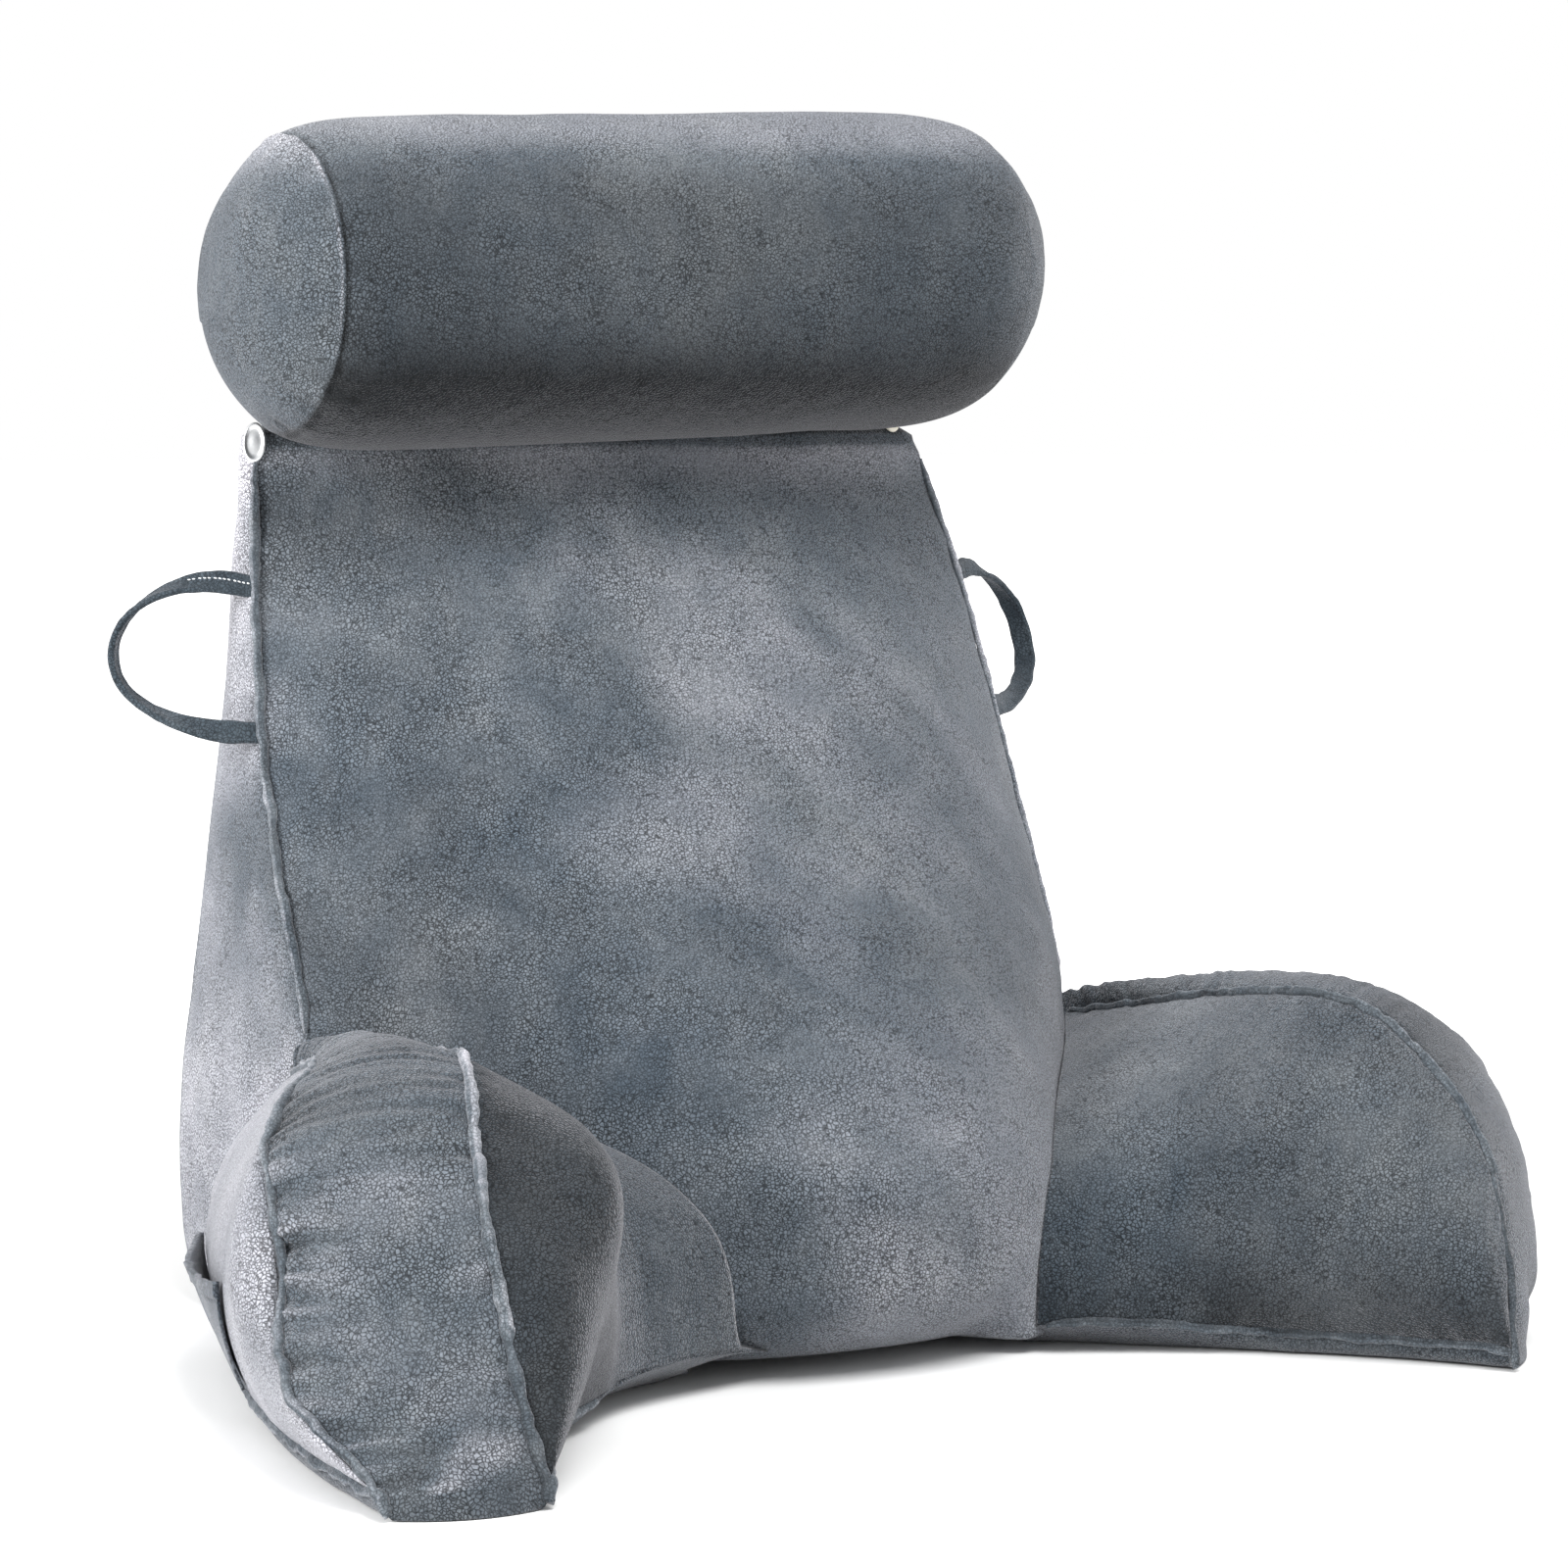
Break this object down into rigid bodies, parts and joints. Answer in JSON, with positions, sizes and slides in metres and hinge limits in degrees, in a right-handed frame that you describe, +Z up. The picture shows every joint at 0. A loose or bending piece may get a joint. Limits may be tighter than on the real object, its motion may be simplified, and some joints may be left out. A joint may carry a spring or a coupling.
{
  "type": "reading pillow with arms",
  "caption": "Plump velvet backrest pillow with two D-ended arms, a round neck roll, two side carrying loops and an outer side pocket.",
  "frame": {"origin": "on the floor under the pillow, midway between the two arms, level with the lower front seams of the back cushion at arm-top height", "axes": "+Z up, +X to the right-hand arm seen from the front, +Y towards the rear of the back cushion"},
  "size_m": [0.7304, 0.5524, 0.6403],
  "materials": {
    "slate_velvet": "short-pile velvet with a mottled nap",
    "seam_velvet": "short-pile velvet, folded and stitched",
    "strap_velvet": "short-pile velvet strap",
    "stud_metal": "bright pressed cap",
    "stud_cream": "cream moulded cap"
  },
  "bodies": {
    "root": {"back_cushion": "slate_velvet", "arm_left": "slate_velvet", "arm_right": "slate_velvet", "neck_roll": "slate_velvet", "carrying_loop_left": "strap_velvet", "carrying_loop_right": "strap_velvet", "front_welt_left": "seam_velvet", "front_welt_right": "seam_velvet", "arm_inner_welt_left": "seam_velvet", "arm_inner_welt_right": "seam_velvet", "arm_outer_welt_left": "seam_velvet", "arm_outer_welt_right": "seam_velvet", "side_pocket": "slate_velvet", "press_stud_left": "stud_metal", "press_stud_right": "stud_cream"}
  },
  "joints": []
}
